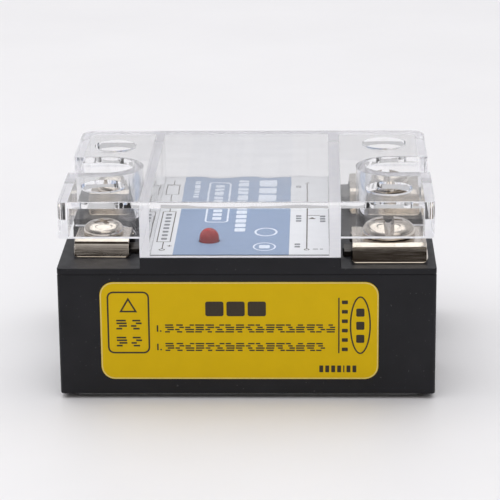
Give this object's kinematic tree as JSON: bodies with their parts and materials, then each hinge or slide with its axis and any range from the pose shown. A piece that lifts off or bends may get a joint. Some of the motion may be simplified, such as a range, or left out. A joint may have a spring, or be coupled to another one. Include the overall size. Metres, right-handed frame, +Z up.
{
  "type": "solid state relay",
  "caption": "Panel-mount solid state relay: black case on a metal plate, screw clamps at both ends, red indicator, clear lift-off cover.",
  "frame": {"origin": "middle of the footprint, on the underside of the metal base plate", "axes": "+Z up through the cover, +X towards the output terminals, -Y towards the labelled front"},
  "size_m": [0.06, 0.0451, 0.0327],
  "materials": {
    "base_metal": "milled, slightly dull",
    "case_plastic": "fine satin moulding, near black",
    "clear_plastic": "clear, polished, slightly blue at the edges",
    "side_print": "satin yellow film with plain dark marks",
    "face_print": "satin blue and white film with plain marks",
    "red_lens": "tinted diffused red",
    "nickel_plate": "bright nickel plate with fine rolling lines",
    "nickel_screw": "bright nickel plate",
    "contact_brass": "tinned brass, dull",
    "tinned_wire": "tinned",
    "copper": "plain copper",
    "ceramic": "unglazed white",
    "silicon": "dark polished",
    "epoxy": "cast black compound",
    "board_laminate": "green solder mask",
    "chip_plastic": "moulded black",
    "capacitor_coat": "dipped red coat",
    "resistor_coat": "blue lacquer",
    "diode_coat": "amber glass"
  },
  "bodies": {
    "relay_body": {"base_plate": "base_metal", "housing": "case_plastic", "housing_lid": "case_plastic", "side_label": "side_print", "face_label": "face_print", "indicator_lens": "red_lens", "indicator_lead_left": "tinned_wire", "indicator_lead_right": "tinned_wire", "ceramic_substrate": "ceramic", "copper_track_front": "copper", "copper_track_back": "copper", "thyristor_front": "silicon", "thyristor_back": "silicon", "copper_clip_front": "copper", "copper_clip_back": "copper", "gate_lead_front": "tinned_wire", "gate_lead_back": "tinned_wire", "potting_compound": "epoxy", "circuit_board": "board_laminate", "optocoupler": "chip_plastic", "snubber_capacitor": "capacitor_coat", "snubber_resistor": "resistor_coat", "input_resistor": "resistor_coat", "input_diode": "diode_coat", "input_transistor_outer": "chip_plastic", "input_transistor_inner": "chip_plastic", "input_front_contact": "contact_brass", "input_front_nut": "contact_brass", "input_back_contact": "contact_brass", "input_back_nut": "contact_brass", "output_front_contact": "contact_brass", "output_front_nut": "contact_brass", "output_back_contact": "contact_brass", "output_back_nut": "contact_brass"},
    "cover": {"clear_cover": "clear_plastic"},
    "input_front_clamp": {"input_front_clamp": "nickel_plate"},
    "input_front_screw": {"input_front_screw": "nickel_screw"},
    "input_back_clamp": {"input_back_clamp": "nickel_plate"},
    "input_back_screw": {"input_back_screw": "nickel_screw"},
    "output_front_clamp": {"output_front_clamp": "nickel_plate"},
    "output_front_screw": {"output_front_screw": "nickel_screw"},
    "output_back_clamp": {"output_back_clamp": "nickel_plate"},
    "output_back_screw": {"output_back_screw": "nickel_screw"}
  },
  "joints": [
    {"name": "cover_lift", "type": "slide", "parent": "relay_body", "child": "cover", "axis": [0, 0, 1], "range_m": [0, 0.02]},
    {"name": "input_front_clamp_lift", "type": "slide", "parent": "relay_body", "child": "input_front_clamp", "axis": [0, 0, 1], "range_m": [0, 0.0016]},
    {"name": "input_front_screw_turn", "type": "hinge", "parent": "input_front_clamp", "child": "input_front_screw", "pos_m": [-0.0232, -0.01257, 0.025], "axis": [0, 0, 1], "range_deg": [0, 1153]},
    {"name": "input_back_clamp_lift", "type": "slide", "parent": "relay_body", "child": "input_back_clamp", "axis": [0, 0, 1], "range_m": [0, 0.0016]},
    {"name": "input_back_screw_turn", "type": "hinge", "parent": "input_back_clamp", "child": "input_back_screw", "pos_m": [-0.0232, 0.01257, 0.025], "axis": [0, 0, 1], "range_deg": [0, 1153]},
    {"name": "output_front_clamp_lift", "type": "slide", "parent": "relay_body", "child": "output_front_clamp", "axis": [0, 0, 1], "range_m": [0, 0.0016]},
    {"name": "output_front_screw_turn", "type": "hinge", "parent": "output_front_clamp", "child": "output_front_screw", "pos_m": [0.0226, -0.01401, 0.025], "axis": [0, 0, 1], "range_deg": [0, 824]},
    {"name": "output_back_clamp_lift", "type": "slide", "parent": "relay_body", "child": "output_back_clamp", "axis": [0, 0, 1], "range_m": [0, 0.0016]},
    {"name": "output_back_screw_turn", "type": "hinge", "parent": "output_back_clamp", "child": "output_back_screw", "pos_m": [0.0226, 0.01401, 0.025], "axis": [0, 0, 1], "range_deg": [0, 824]}
  ],
  "couplings": [
    {"joint": "input_front_screw_turn", "follows": "input_front_clamp_lift", "rad_per_m": 12566},
    {"joint": "input_back_screw_turn", "follows": "input_back_clamp_lift", "rad_per_m": 12566},
    {"joint": "output_front_screw_turn", "follows": "output_front_clamp_lift", "rad_per_m": 8976},
    {"joint": "output_back_screw_turn", "follows": "output_back_clamp_lift", "rad_per_m": 8976}
  ]
}
